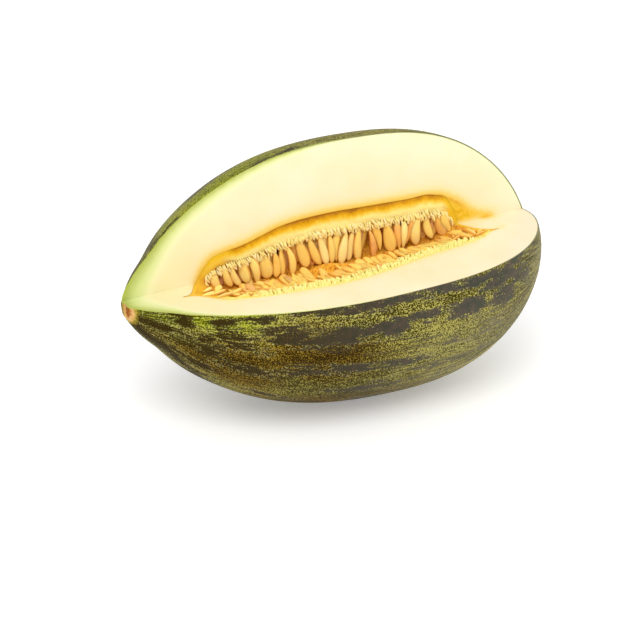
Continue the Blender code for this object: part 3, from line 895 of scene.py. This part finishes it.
def makePulpMaterial():
    # Pulp of the seed hollow: soft wet threads that the knife tore. The eye sees an orange seam against
    # the flesh, then a yellow band, and amber flesh with brown depths between the seeds.
    look = pulpLook
    material, add = startMaterial("wetMelonPulp", look["shader"])
    place = add("TexCoord", output="Object")
    upper, lower, seam, membrane, bandEnds, leftEnd = (
        add("Attribute", attribute_name=name, output="Fac")
        for name in ("fromUpperMm", "fromLowerMm", "seam", "membrane", "bandEnds", "leftEnd")
    )
    wide, comb, long, lean = (look[key] for key in ("threadWidth", "combWidth", "threadLength", "threadLean"))
    torn = []
    for size, turn, detail in (
            ((wide, look["streakLength"], wide), (0.0, 0.0, lean), 3.0),
            ((wide, wide, long), (0.0, lean, 0.0), 4.0),
            ((comb, comb, long), (0.0, lean, 0.0), 2.0)):
        size = [side * mm for side in size]
        space = add("Mapping", place, vector_type="TEXTURE", Rotation=turn, Scale=size)
        torn.append(add("TexNoise", space, 1.0, detail))
    streak, threads, comb = torn

    bed = add("TexNoise", place, 1000 / look["mottleSize"], 4.0)
    bed = add("ValToRGB", bed, stops=((0.32, look["bedDeep"]), (0.50, look["bed"]), (0.72, look["orange"])))
    streak = add("ValToRGB", streak, stops=((0.46, 0.0), (0.62, 0.75)))
    for mask, shade in ((membrane, "membrane"), (streak, "bedStreak")):
        bed = add("Mix", mask, bed, look[shade], **mixed)
    mottle = add("TexNoise", place, 1000 / look["mottleSize"], 3.0)
    shift = add("Math", threads, 1.6, -2.1, **timesPlus)
    shift = add("Math", mottle, 2.6, shift, **timesPlus)

    # from the seam against the flesh down to the fibres; past the seam's ends it starts with gold
    past = add("Math", seam, -2.6, 2.6, **timesPlus)
    past = add("Math", past, shift)
    upper = add("Math", upper, past)
    upper = add("MapRange", upper, 0.0, look["bandReach"])
    band = add("ValToRGB", upper, stops=(
        (0.0, look["orangeDeep"]), (0.11, look["orangeDeep"]), (0.18, look["orange"]), (0.25, look["gold"]),
        (0.34, look["yellow"]), (0.47, look["paleFibre"]), (0.80, look["strand"]), (1.0, look["bed"]),
    ))
    # dark crease along the seam: partly its own colour, partly painted shade of the groove
    dark = add("ValToRGB", upper, stops=((0.04, 1.0), (0.13, 0.0)))
    dark = add("Math", dark, seam, **times)
    # comb lines: painted shade between the fibres in the band
    comb = add("ValToRGB", comb, stops=((0.50, 0.0), (0.62, 0.55)))
    combHere = add("ValToRGB", upper, stops=((0.52, 0.0), (0.68, 1.0)))
    comb = add("Math", comb, combHere, **times)
    for mask, shade in ((dark, "crease"), (comb, "strandGap")):
        band = add("Mix", mask, band, look[shade], **mixed)
    bandMask = add("ValToRGB", upper, stops=((0.82, 1.0), (1.0, 0.0)))

    # the paler fringe along the lower rim
    lower = add("Math", lower, shift)
    lower = add("MapRange", lower, 0.0, look["fringeReach"])
    fringe = add("ValToRGB", lower, stops=(
        (0.0, look["paleFibre"]), (0.30, look["yellow"]), (0.70, look["bed"]),
    ))
    fringeMask = add("ValToRGB", lower, stops=((0.45, 1.0), (0.80, 0.0)))
    bandEnds = add("Math", bandEnds, bandMask, **times)
    colour = bed
    for mask, shade in ((bandMask, band), (fringeMask, fringe), (bandEnds, look["endGold"]),
                        (leftEnd, look["glow"])):
        colour = add("Mix", mask, colour, shade, **mixed)
    grain = add("TexNoise", place, 1000 / look["grainSize"], 5.0)
    bump = add("Bump", Height=grain, Strength=0.4, Distance=0.25 * mm)
    return finishMaterial(material, colour, bump)


def makeSeedPulp():
    shape = pulpShape
    stations = hollowStations(shape["stations"])
    rings, measures = [], {"fromUpperMm": [], "fromLowerMm": [], "membrane": []}
    for x in stations:
        baseY, baseZ, depth, turn, fromUpper, fromLower = pulpSection(x)
        spots = [(x, y, z) for y, z in zip(baseY, baseZ)]
        rough = sum(share * noiseAt(spots, size, seed) for size, seed, share in shape["lumps"])
        inner = smoothStep(*shape["lumpFrom"], np.minimum(fromUpper, fromLower))
        depth = np.maximum(depth + rough * shape["lump"] * mm * (0.25 + 0.75 * inner), 0.1 * mm)
        y, z = baseY + depth * np.cos(turn), baseZ + depth * np.sin(turn)
        back = hollowArc(x, shape["gap"], shape["backPoints"])[::-1][1:-1]
        rings.append(np.concatenate((
            np.stack((np.full(len(y), x), y, z), axis=1),
            np.stack((np.full(len(back), x), back[:, 0], back[:, 1]), axis=1),
        )))
        fromLower = np.concatenate((fromLower, np.zeros(len(back))))
        rise = np.exp(-((x / mm - shape["membraneX"]) / shape["membraneLength"]) ** 2)
        shade = np.exp(-((fromLower - shape["membraneFromRim"]) / shape["membraneFade"]) ** 2)
        measures["fromUpperMm"].append(np.concatenate((fromUpper, np.zeros(len(back)))))
        measures["fromLowerMm"].append(fromLower)
        measures["membrane"].append(rise * shade)
    tips = [np.mean(rings[k], axis=0) for k in (0, -1)]
    points = np.concatenate(rings + [np.array(tips)])
    patchy = smoothStep(-0.3, 0.2, noiseAt(points[:, :1] * (1.0, 0.0, 0.0), *shape["seamPatches"]))
    x = points[:, 0]
    leftGold = shape["leftGoldShare"] * smoothStep(*shape["leftGold"], -x)
    attributes = {
        "seam": betweenEnds(x, shape["seam"]) * (shape["seamLeast"] + (1 - shape["seamLeast"]) * patchy),
        "leftEnd": smoothStep(*shape["leftEnd"], -x),
        "bandEnds": np.maximum(smoothStep(*shape["rightGold"], x), leftGold),
        **{name: np.concatenate(values + [np.zeros(2)]) for name, values in measures.items()},
    }
    faces = ringFaces(len(rings), len(rings[0]))
    item = makePiece("seedPulp", points, faces, makePulpMaterial(), attributes)
    fixNormals(item.data)
    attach(item, "root")
    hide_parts("seed_mass")
    return item


makeSeedPulp()
print("melon: pulp made")

# seeds

seedShape = {
    "thickness": 2.5,
    "thinBelow": 4.6,                 # mm wide: narrower seeds are thinner too
    "spread": (0.85, 1.1),            # from seed to seed, in width and in thickness
    "rings": 11,
    "sides": 14,
    # the upper row, read from left to right: X, drop below the rim, lean, length, width
    # in mm and degrees; a positive lean has the lower tip towards the blossom end
    "upperRow": (
        (-67.6, 9.4, 8, 9.5, 4.4), (-63.6, 8.8, 24, 10.5, 5.0), (-57.6, 6.7, 15, 12, 4.2),
        (-53.9, 8.0, 19, 12, 4.2), (-48.6, 6.0, 11, 14, 5.8), (-46.3, 14.5, 24, 13, 3.8),
        (-43.2, 9.5, 10, 14, 4.9),
        (-37.6, 9.0, 12, 14.5, 6.6), (-31.4, 12.0, 3, 13, 4.2), (-27.9, 12.5, 3, 13, 3.6),
        (-25.2, 11.0, 10, 16, 4.4), (-19.3, 9.5, 17, 16, 5.4), (-12.8, 10.5, 22, 16.5, 5.2),
        (-7.8, 10.5, 14, 16, 4.9), (-1.8, 11.0, 4, 15.5, 4.7), (3.2, 12.0, -4, 14.5, 3.8),
        (7.9, 12.0, -14, 16, 4.6), (11.9, 11.0, -11, 16.5, 4.2), (14.9, 10.5, -4, 17, 4.7),
        (20.2, 13.0, 8, 15, 4.0), (22.6, 11.0, 16, 14.5, 4.8), (29.2, 11.0, 12, 15.5, 6.8),
        (35.7, 11.5, 4, 14.5, 4.1), (39.8, 12.0, -5, 13.5, 3.8), (45.6, 11.5, -21, 13.5, 4.2),
        (48.5, 10.5, -7, 15.5, 5.5), (52.7, 9.5, 11, 14.5, 5.1), (57.4, 9.5, 21, 14, 5.0),
        (62.0, 7.5, 19, 13, 4.7), (65.4, 6.5, 23, 10.5, 4.0),
    ),
    "upperStretch": (1.04, 1.08),     # each is made this much longer and wider than it was read
    "upperLevel": 1.7,                # mm from the cut face to the middle of the front row
    "behindCount": 46,
    "behindFrom": -66.0,
    "behindSpan": 136.0,
    "behindLevel": 4.0,
    "behindDrop": (8.0, 13.5),        # mm below the rim
    "behindLean": 24,                 # degrees to either side
    "behindHeight": 9 * mm,           # none where the rim is lower than this
    "lowerRows": (                    # how many, from X, to X, mm back from the lower rim
        (52, -62.0, 68.0, 4.2), (50, -56.0, 66.0, 8.6), (30, -54.0, 8.0, 13.5), (20, 10.0, 58.0, 12.5),
        (16, -52.0, -14.0, 17.5),
    ),
    # flat on the rim at the stem end: X, mm from the rim, swing in degrees, length, width
    "leftRow": (
        (-76.5, 0.8, 82, 8, 3.4), (-71.0, 0.6, 78, 9, 4.0), (-64.5, 0.8, 76, 10.5, 4.6),
        (-57.5, 2.0, 66, 9.5, 4.6), (-71.5, 5.0, 70, 8, 3.4), (-64.5, 6.4, 58, 9, 4.2),
        (-69.0, 9.5, 40, 8, 3.6), (-74.0, 8.0, 60, 6.5, 3.0),
    ),
    "rightRow": (                     # and at the blossom end
        (55.0, 8.0, 62, 11, 4.6), (60.5, 6.6, 66, 10.5, 4.4), (64.0, 9.0, 58, 9, 3.8),
        (68.0, 6.0, 70, 8, 3.6), (58.0, 12.0, 55, 10, 4.2), (71.0, 7.5, 60, 6.5, 3.0),
    ),
    "lowerSizes": (0.68, 0.92),
    "lowerSwing": 24.0,
    "lowerHeight": 20 * mm,           # none where the hollow is less open than this
    "clearing": (0.9, 12.0, 0.75),    # the membrane's: share of its length, mm behind the rim, share gone
    "fullLength": 14.2,
    "fullWidth": 5.6,
    "twist": 28,                      # degrees
    "bend": 0.10,                     # shares of the length
    "hook": 0.05,
}

seedLook = {
    "amber": "#ffcd66",
    "gold": "#ffdc76",
    "pale": "#ffe896",
    "tan": "#f2bb66",
    "rose": "#e2a478",
    # the seeds' sides: partly a thin brown outline, partly painted shade where the seed turns away
    "edge": "#cc8224",
    "grainSize": 2.4,                 # mm
    "shader": {                       # hard seed in a slippery coat
        "Roughness": 0.3, "IOR": 1.45, "Specular IOR Level": 0.25,
        "Subsurface Weight": 0.35, "Subsurface Scale": 1.5 * mm,
        "Subsurface Radius": (1.0, 0.7, 0.25), "Coat Weight": 0.12, "Coat Roughness": 0.12,
    },
}


def makeSeedMaterial():
    # Melon seed coat: a thin hard husk, slippery with juice. The eye sees amber to pale gold teardrops
    # with wet highlights, darker towards the pointed end, and a few that are rosy and half clear.
    look = seedLook
    material, add = startMaterial("wetSeedHusk", look["shader"])
    place = add("TexCoord", output="Object")
    tone, tip, edge = (
        add("Attribute", attribute_name=name, output="Fac") for name in ("tone", "alongSeed", "edge")
    )
    grain = add("TexNoise", place, 1000 / look["grainSize"], 3.0)
    mottled = add("Math", grain, 0.30, tone, **timesPlus)
    colour = add("ValToRGB", mottled, stops=(
        (0.02, look["rose"]), (0.14, look["tan"]), (0.28, look["amber"]), (0.58, look["gold"]),
        (0.95, look["pale"]),
    ))
    darker = add("ValToRGB", tip, stops=((0.0, 0.9), (0.28, 0.1), (0.80, 0.0), (1.0, 0.3)))
    # darker at the sides: partly the seed's brown outline, partly painted shade where it turns away
    edge = add("ValToRGB", edge, stops=((0.62, 0.0), (1.0, 0.85)))
    for mask, shade in ((darker, "amber"), (edge, "edge")):
        colour = add("Mix", mask, colour, look[shade], **mixed)
    bump = add("Bump", Height=grain, Strength=0.25, Distance=0.15 * mm)
    return finishMaterial(material, colour, bump)


def threeWays(direction, outwards):   # along a seed or a fibre, to its side and to its front
    along = Vector(direction).normalized()
    side = along.cross(Vector(outwards)).normalized()
    return along, side, side.cross(along)


class Pile:   # many small closed forms in one mesh
    def __init__(self):
        self.points, self.faces, self.tone, self.along, self.edge = [], [], [], [], []

    def add(self, points, rings, sides, tone, along):
        self.faces += ringFaces(rings, sides, len(self.points))
        self.points += [tuple(p) for p in points]
        self.tone += [tone] * len(points)
        self.along += list(along)
        aside = [abs(math.cos(2 * math.pi * k / sides)) for k in range(sides)]
        self.edge += aside * rings + [1.0, 1.0]

    def finish(self, name, material):
        attributes = {"tone": self.tone, "alongSeed": self.along, "edge": self.edge}
        item = makePiece(name, self.points, self.faces, material, attributes)
        fixNormals(item.data)
        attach(item, "root")
        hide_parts("seed_mass")
        return item


def addSeed(pile, draw, start, direction, outwards, length, width, tone, flipped=False):
    rings, sides = seedShape["rings"], seedShape["sides"]
    along, side, front = threeWays(direction, outwards)
    turn = math.radians(draw.uniform(-seedShape["twist"], seedShape["twist"]))
    turned = side * math.cos(turn) + front * math.sin(turn)
    side, front = turned, front * math.cos(turn) - side * math.sin(turn)
    bend = draw.uniform(-seedShape["bend"], seedShape["bend"]) * length
    hook = draw.uniform(-seedShape["hook"], seedShape["hook"]) * length
    fatness = draw.uniform(*seedShape["spread"])
    thickness = seedShape["thickness"] * mm * min(1.0, width / (seedShape["thinBelow"] * mm))
    thickness *= draw.uniform(*seedShape["spread"])
    points, shares = [], []
    for r in range(rings):
        u = 0.5 - 0.5 * math.cos(math.pi * (r + 0.55) / (rings + 0.1))
        across = (u ** 0.62 * (1 - u ** 3.4) ** 0.55) / 0.655
        across = min(across, 1.0) * fatness
        centreShare = 1 - u if flipped else u
        bow = math.sin(math.pi * centreShare)
        middle = Vector(start) + along * (centreShare * length)
        middle += side * (bend * bow) + front * (hook * bow)
        for k in range(sides):
            angle = 2 * math.pi * k / sides
            flat = math.sqrt(across) * (0.88 + 0.12 * abs(math.cos(angle)) ** 3)
            points.append(middle + side * (0.5 * width * across * math.cos(angle))
                          + front * (0.5 * thickness * flat * math.sin(angle)))
            shares.append(u)
    ends = [Vector(start), Vector(start) + along * length]
    if flipped:
        ends.reverse()
    pile.add(points + ends, rings, sides, tone, shares + [0.0, 1.0])


def seedTone(draw):
    return draw.choice((0.0, 0.18, 0.28, 0.35, 0.4, 0.46, 0.54, 0.66, 0.8)) + draw.uniform(-0.04, 0.04)


def makeUpperSeeds(material):
    pile, draw = Pile(), random.Random(5)
    longer, wider = seedShape["upperStretch"]
    for place, drop, lean, length, width in seedShape["upperRow"]:
        x = place * mm
        y, z = onCut(x, rims(x)[0] - drop * mm)
        lean = math.radians(lean)
        level = seedShape["upperLevel"] + draw.uniform(-0.5, 0.5)
        start = (x, float(y) + level * mm, float(z))
        direction = (math.sin(lean), draw.uniform(-0.16, -0.03), -math.cos(lean))
        tone = seedTone(draw) + 0.3 * smoothStep(44.0, 56.0, -place)
        addSeed(pile, draw, start, direction, (0, -1, 0), length * longer * mm, width * wider * mm, tone,
                draw.random() < 0.35)
    count = seedShape["behindCount"]
    for k in range(count):
        x = seedShape["behindFrom"] + seedShape["behindSpan"] * k / (count - 1) + draw.uniform(-1.2, 1.2)
        x = x * mm
        upper = float(rims(x)[0])
        if upper < seedShape["behindHeight"]:
            continue
        drop = draw.uniform(*seedShape["behindDrop"]) * mm
        y, z = onCut(x, upper - drop)
        lean = math.radians(draw.uniform(-seedShape["behindLean"], seedShape["behindLean"]))
        start = (x, float(y) + (seedShape["behindLevel"] + draw.uniform(-0.5, 0.6)) * mm, float(z))
        direction = (math.sin(lean), draw.uniform(-0.06, 0.06), -math.cos(lean))
        size = min(draw.uniform(0.9, 1.1), (upper / mm - drop / mm + 7.0) / seedShape["fullLength"])
        if size > 0.45:
            addSeed(pile, draw, start, direction, (0, -1, 0), size * seedShape["fullLength"] * mm,
                    size * seedShape["fullWidth"] * mm, seedTone(draw) - 0.1, draw.random() < 0.3)
    return pile.finish("upperSeeds", material)


def makeLowerSeeds(material):
    pile, draw = Pile(), random.Random(17)
    clearReach, clearFrom, clearShare = seedShape["clearing"]
    for count, first, last, fromRim in seedShape["lowerRows"]:
        for k in range(count):
            x = (first + (last - first) * k / (count - 1) + draw.uniform(-1.3, 1.3)) * mm
            upper, lower = (float(v) for v in rims(x))
            back = (fromRim + draw.uniform(-1.0, 1.4)) * mm
            size = draw.uniform(*seedShape["lowerSizes"])
            length = size * seedShape["fullLength"] * mm
            room = lower - back + 4.0 * mm
            if room < 0.5 * length or lower + upper < seedShape["lowerHeight"]:
                continue
            fromMembrane = abs(x / mm - pulpShape["membraneX"])
            nearMembrane = fromMembrane < clearReach * pulpShape["membraneLength"]
            if nearMembrane and fromRim > clearFrom and draw.random() < clearShare:
                continue
            length = min(length, room)
            baseY, baseZ, depth, turn, _, fromLower = pulpSection(x, 60)
            surfaceY, surfaceZ = baseY + depth * np.cos(turn), baseZ + depth * np.sin(turn)
            here = int(np.argmin(np.abs(fromLower - back / mm)))
            there = int(np.argmin(np.abs(fromLower - (back + 0.8 * length) / mm)))
            start = Vector((x, surfaceY[here], surfaceZ[here] + draw.uniform(0.4, 1.3) * mm))
            end = Vector((x, surfaceY[there], surfaceZ[there] + draw.uniform(0.6, 2.0) * mm))
            direction = (end - start).normalized()
            swing = math.radians(draw.uniform(-seedShape["lowerSwing"], seedShape["lowerSwing"] * 0.6))
            direction = Vector((math.sin(swing), direction.y * math.cos(swing), direction.z))
            addSeed(pile, draw, start, direction, (0, 0.2, 1), length, seedShape["fullWidth"] * size * mm,
                    seedTone(draw) * 0.5 - 0.06, draw.random() < 0.3)
    for place, back, swing, length, width in seedShape["leftRow"] + seedShape["rightRow"]:
        x, swing = place * mm, math.radians(swing)
        y, z = onCut(x, -(float(rims(x)[1]) - back * mm))
        start = (x, float(y), float(z) - 0.2 * mm)
        addSeed(pile, draw, start, (math.sin(swing), math.cos(swing), 0.0), (0, 0.2, 1), length * mm,
                width * mm, draw.uniform(0.35, 0.6) if place < 0 else draw.uniform(0.0, 0.3))
    return pile.finish("lowerSeeds", material)


seedHusk = makeSeedMaterial()
makeUpperSeeds(seedHusk)
makeLowerSeeds(seedHusk)
print("melon: seeds made")

# fibres that hold the seeds to the pulp

fibreShape = {
    "rings": 6,
    "sides": 7,
    "upperLayers": 2,
    "upperEnds": (-70.0, 68.0),       # X
    "upperSpacing": 0.85,
    "upperThickness": (0.7, 1.15),
    "upperStart": (7.6, 9.2),         # mm below the rim
    "upperStep": 1.6,
    "upperLength": (3.0, 4.6),
    "upperLean": (4, 40),
    "lowerLayers": 3,
    "lowerEnds": (-54.0, 75.0),
    "lowerShorter": 6.0,              # mm that each layer ends before the one under it
    "lowerSpacing": 1.1,
    "lowerStart": (0.4, 1.4),
    "lowerStep": 1.2,
    "lowerLength": (2.4, 4.2),
    "lowerThickness": (0.9, 1.5),
    "lowerSwing": (-10, 40),
    "lowerRise": (0.10, 0.50),
}

fibreLook = {
    "white": "#fff2bc",
    "yellow": "#fdea92",
    "green": "#dedb7a",
    "shader": {                       # thin and wet
        "Roughness": 0.35, "IOR": 1.37, "Specular IOR Level": 0.3,
        "Subsurface Weight": 0.1, "Subsurface Scale": 0.4 * mm,
        "Subsurface Radius": (1.0, 0.85, 0.4), "Coat Weight": 0.1, "Coat Roughness": 0.15,
    },
}


def makeFibreMaterial():
    # Placenta threads, torn and wet: short pale yellow strands, whiter at their thick ends.
    look = fibreLook
    material, add = startMaterial("tornSeedFibres", look["shader"])
    tone, tip = (add("Attribute", attribute_name=name, output="Fac") for name in ("tone", "alongSeed"))
    colour = add("ValToRGB", tone, stops=((0.0, look["white"]), (0.45, look["yellow"]), (1.0, look["green"])))
    ends = add("ValToRGB", tip, stops=((0.0, 0.6), (0.4, 0.0), (1.0, 0.15)))
    colour = add("Mix", ends, colour, look["yellow"], **mixed)
    return finishMaterial(material, colour)


def addFibre(pile, draw, start, direction, outwards, length, thickness, tone):
    rings, sides = fibreShape["rings"], fibreShape["sides"]
    along, side, front = threeWays(direction, outwards)
    bow = draw.uniform(-0.12, 0.12) * length
    arch = draw.uniform(0.02, 0.14) * length
    points, shares = [], []
    for r in range(rings):
        u = 0.5 - 0.5 * math.cos(math.pi * (r + 0.5) / rings)
        radius = 0.5 * thickness * (1 - (2 * u - 1) ** 4) ** 0.5 * (0.75 + 0.5 * u)
        middle = Vector(start) + along * (u * length) + side * (bow * math.sin(math.pi * u))
        middle += front * (arch * math.sin(math.pi * u))
        for k in range(sides):
            angle = 2 * math.pi * k / sides
            points.append(middle + side * (radius * math.cos(angle))
                          + front * (radius * 0.8 * math.sin(angle)))
            shares.append(u)
    ends = [Vector(start), Vector(start) + along * length]
    pile.add(points + ends, rings, sides, tone, shares + [0.0, 1.0])


def makeUpperFibres(material):
    pile, draw, shape = Pile(), random.Random(23), fibreShape
    for layer in range(shape["upperLayers"]):
        x, end = shape["upperEnds"]
        while x < end:
            x += shape["upperSpacing"] * draw.uniform(0.7, 1.3)
            upper = float(rims(x * mm)[0])
            if upper < 8 * mm:
                continue
            drop = (draw.uniform(*shape["upperStart"]) + shape["upperStep"] * layer) * mm
            drop *= float(bandShare(upper))
            y, z = onCut(x * mm, upper - drop)
            lean = math.radians(draw.uniform(*shape["upperLean"]))
            start = (x * mm, float(y) + (0.5 + 0.5 * layer) * mm, float(z))
            direction = (math.sin(lean), draw.uniform(-0.05, 0.10), -math.cos(lean))
            length = draw.uniform(*shape["upperLength"]) * mm
            thickness = draw.uniform(*shape["upperThickness"]) * mm
            addFibre(pile, draw, start, direction, (0, -1, 0), length, thickness, draw.uniform(0.0, 0.6))
    return pile.finish("upperFibres", material)


def makeLowerFibres(material):
    pile, draw, shape = Pile(), random.Random(31), fibreShape
    for layer in range(shape["lowerLayers"]):
        x, end = shape["lowerEnds"]
        while x < end - shape["lowerShorter"] * layer:
            x += shape["lowerSpacing"] * draw.uniform(0.7, 1.3)
            slighter = 1 - 0.4 * smoothStep(52.0, 72.0, x)
            upper, lower = (float(v) for v in rims(x * mm))
            if upper + lower < 5 * mm:
                continue
            back = (draw.uniform(*shape["lowerStart"]) + shape["lowerStep"] * layer) * mm
            y, z = onCut(x * mm, -(lower - back))
            swing = math.radians(draw.uniform(*shape["lowerSwing"]))
            rise = draw.uniform(*shape["lowerRise"])
            start = (x * mm, float(y), float(z) - (0.7 - 0.2 * layer) * mm)
            direction = (math.sin(swing), math.cos(swing), rise)
            length = draw.uniform(*shape["lowerLength"]) * slighter * mm
            thickness = draw.uniform(*shape["lowerThickness"]) * slighter * mm
            addFibre(pile, draw, start, direction, (0, 0, 1), length, thickness, draw.uniform(0.35, 1.0))
    return pile.finish("lowerFibres", material)


fibreSkin = makeFibreMaterial()
makeUpperFibres(fibreSkin)
makeLowerFibres(fibreSkin)
print("melon: fibres made")

# floor and light

studio = {
    "floor": "#f4f4f3",
    "floorSize": 12.0,
    "floorGlow": 0.25,                # a lit table, which keeps the shadow faint
    "world": "#ffffff",
    "worldStrength": 0.78,
    "key": {"size": 0.9, "energy": 9.0, "from": (-0.55, -0.75, 1.15)},
    "fill": {"size": 1.4, "energy": 4.0, "from": (0.9, -1.0, 0.7)},
}


def makeStudio():
    material, _ = startMaterial("paleStudioFloor", {
        "Base Color": hexColour(studio["floor"]), "Roughness": 0.85, "Specular IOR Level": 0.2,
        "Emission Color": hexColour("#ffffff"), "Emission Strength": studio["floorGlow"],
    })
    half = studio["floorSize"] / 2
    corners = [(-half, -half, 0.0), (half, -half, 0.0), (half, half, 0.0), (-half, half, 0.0)]
    floor = makePiece("floor", corners, [(0, 1, 2, 3)], material)
    floor.location.z = -0.0004
    floor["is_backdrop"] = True
    world = bpy.data.worlds.new("studio")
    world.use_nodes = True
    background = world.node_tree.nodes["Background"]
    background.inputs["Color"].default_value = hexColour(studio["world"])
    background.inputs["Strength"].default_value = studio["worldStrength"]
    bpy.context.scene.world = world
    for name in ("key", "fill"):
        light = studio[name]
        data = bpy.data.lights.new(name, "AREA")
        data.shape = "DISK"
        data.size = light["size"]
        data.energy = light["energy"]
        item = bpy.data.objects.new(name, data)
        item.location = light["from"]
        item.rotation_euler = Vector(light["from"]).to_track_quat("Z", "Y").to_euler()
        bpy.context.scene.collection.objects.link(item)
    bpy.context.scene.view_settings.view_transform = "Standard"


makeStudio()
print("melon: studio made")

[[list(map(float, corner)) for corner in box] for box in (cadBounds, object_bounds())]
